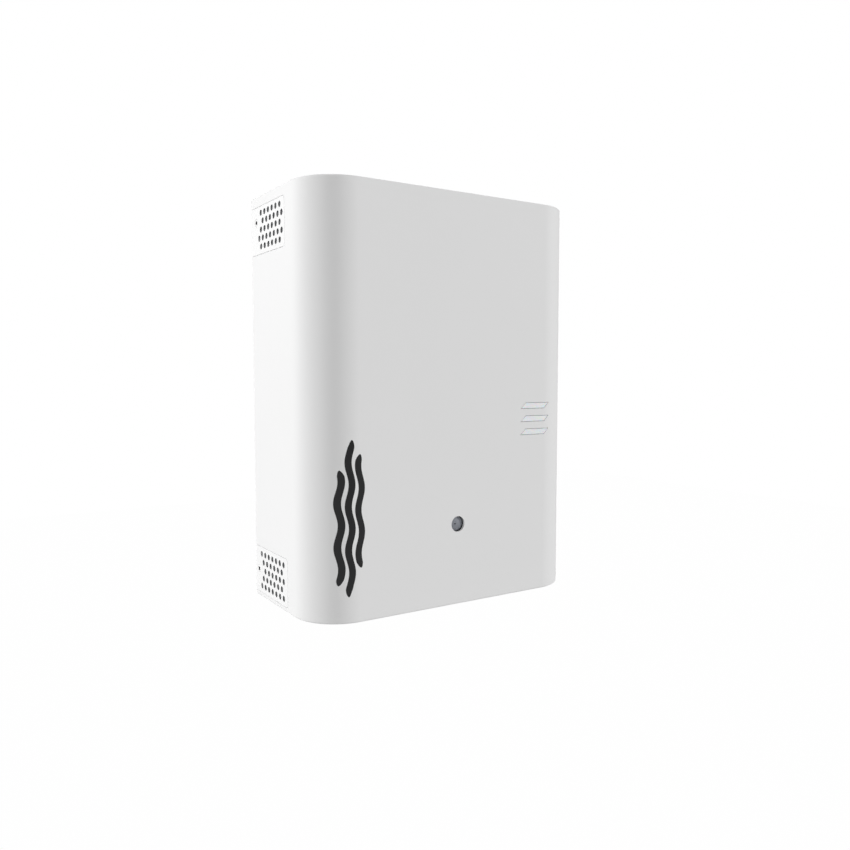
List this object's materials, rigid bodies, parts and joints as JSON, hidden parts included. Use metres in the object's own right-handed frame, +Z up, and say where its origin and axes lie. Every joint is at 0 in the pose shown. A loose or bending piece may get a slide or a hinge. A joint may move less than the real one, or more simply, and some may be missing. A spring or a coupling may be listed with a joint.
{
  "type": "security fog machine",
  "caption": "Wall-mounted fog generator: steel cover with a central fog outlet, slanted indicator bars and perforated side plates, over a chassis with heater, fluid can, valve and board.",
  "frame": {"origin": "middle of the wall face of the chassis", "axes": "+Z up, +Y into the wall, so the front with the fog outlet faces -Y"},
  "size_m": [0.26, 0.122, 0.34],
  "materials": {
    "white_steel": "fine powder coat, white",
    "zinc_steel": "bright zinc plated sheet",
    "dark_steel": "varnished laminations",
    "steel": "satin stainless",
    "screw_steel": "zinc plated",
    "aluminium": "satin",
    "brass": "machined",
    "winding_tape": "polyester tape over copper",
    "mineral_wool": "compressed mineral fibre",
    "black_plastic": "moulded",
    "grey_plastic": "moulded",
    "white_plastic": "moulded",
    "green_plastic": "moulded",
    "blue_plastic": "moulded",
    "red_plastic": "moulded",
    "light_bar": "frosted clear acrylic",
    "green_board": "solder mask",
    "rubber": "moulded",
    "lead_sleeve": "silicone sleeve"
  },
  "bodies": {
    "chassis": {"battery_bracket": "zinc_steel", "battery_lead": "lead_sleeve", "board_tray": "zinc_steel", "buzzer": "black_plastic", "cable_grommet_left": "rubber", "cable_grommet_right": "rubber", "can_cradle": "zinc_steel", "can_strap": "steel", "capacitor": "black_plastic", "chassis": "zinc_steel", "control_board": "green_board", "feed_pipe": "steel", "fluid_can": "aluminium", "heater_block": "aluminium", "heater_cartridge_lower": "steel", "heater_cartridge_upper": "steel", "heater_housing": "zinc_steel", "heater_lead_lower": "lead_sleeve", "heater_lead_upper": "lead_sleeve", "heater_lid": "zinc_steel", "insulation_front": "mineral_wool", "insulation_rear": "mineral_wool", "lower_left_plate": "white_steel", "lower_left_plate_screw": "screw_steel", "lower_right_plate": "white_steel", "lower_right_plate_screw": "screw_steel", "mains_lead": "lead_sleeve", "mains_terminals": "grey_plastic", "nozzle_tube": "steel", "power_terminals": "green_plastic", "relay": "blue_plastic", "signal_terminals": "green_plastic", "standby_battery": "grey_plastic", "tamper_switch": "black_plastic", "test_switch": "black_plastic", "thermal_cutout": "black_plastic", "timer_trimmer": "blue_plastic", "transformer_clamp": "zinc_steel", "transformer_core": "dark_steel", "transformer_winding": "winding_tape", "upper_left_plate": "white_steel", "upper_left_plate_screw": "screw_steel", "upper_right_plate": "white_steel", "upper_right_plate_screw": "screw_steel", "valve_body": "brass", "valve_coil": "black_plastic", "valve_core_tube": "steel", "valve_lead": "lead_sleeve", "valve_spring": "steel"},
    "cover": {"cover": "white_steel", "light_bar_bottom": "light_bar", "light_bar_middle": "light_bar", "light_bar_top": "light_bar", "cover_screw_left": "screw_steel", "cover_screw_right": "screw_steel"},
    "nozzle": {"nozzle_tip": "steel"},
    "plunger": {"valve_plunger": "steel"},
    "button": {"test_button": "red_plastic"},
    "tamper": {"tamper_plunger": "white_plastic"},
    "rotor": {"timer_rotor": "brass"}
  },
  "joints": [
    {"name": "cover_slide", "type": "slide", "parent": "chassis", "child": "cover", "axis": [0, -1, 0], "range_m": [0, 0.13]},
    {"name": "nozzle_turn", "type": "hinge", "parent": "chassis", "child": "nozzle", "pos_m": [0, -0.1204, -0.1024], "axis": [0, -1, 0], "range_deg": [-90, 90]},
    {"name": "valve_lift", "type": "slide", "parent": "chassis", "child": "plunger", "axis": [0, -1, 0], "range_m": [0, 0.0025], "stiffness_N_per_m": 300, "springref_m": -0.002, "deforming": ["valve_spring"]},
    {"name": "test_press", "type": "slide", "parent": "chassis", "child": "button", "axis": [0, 1, 0], "range_m": [0, 0.0005], "stiffness_N_per_m": 800, "springref_m": -0.0005},
    {"name": "tamper_press", "type": "slide", "parent": "chassis", "child": "tamper", "axis": [0, 1, 0], "range_m": [0, 0.002], "stiffness_N_per_m": 200, "springref_m": -0.001},
    {"name": "timer_turn", "type": "hinge", "parent": "chassis", "child": "rotor", "pos_m": [0.1052, -0.0955, 0.07144], "axis": [0, -1, 0], "range_deg": [-135, 135]}
  ]
}
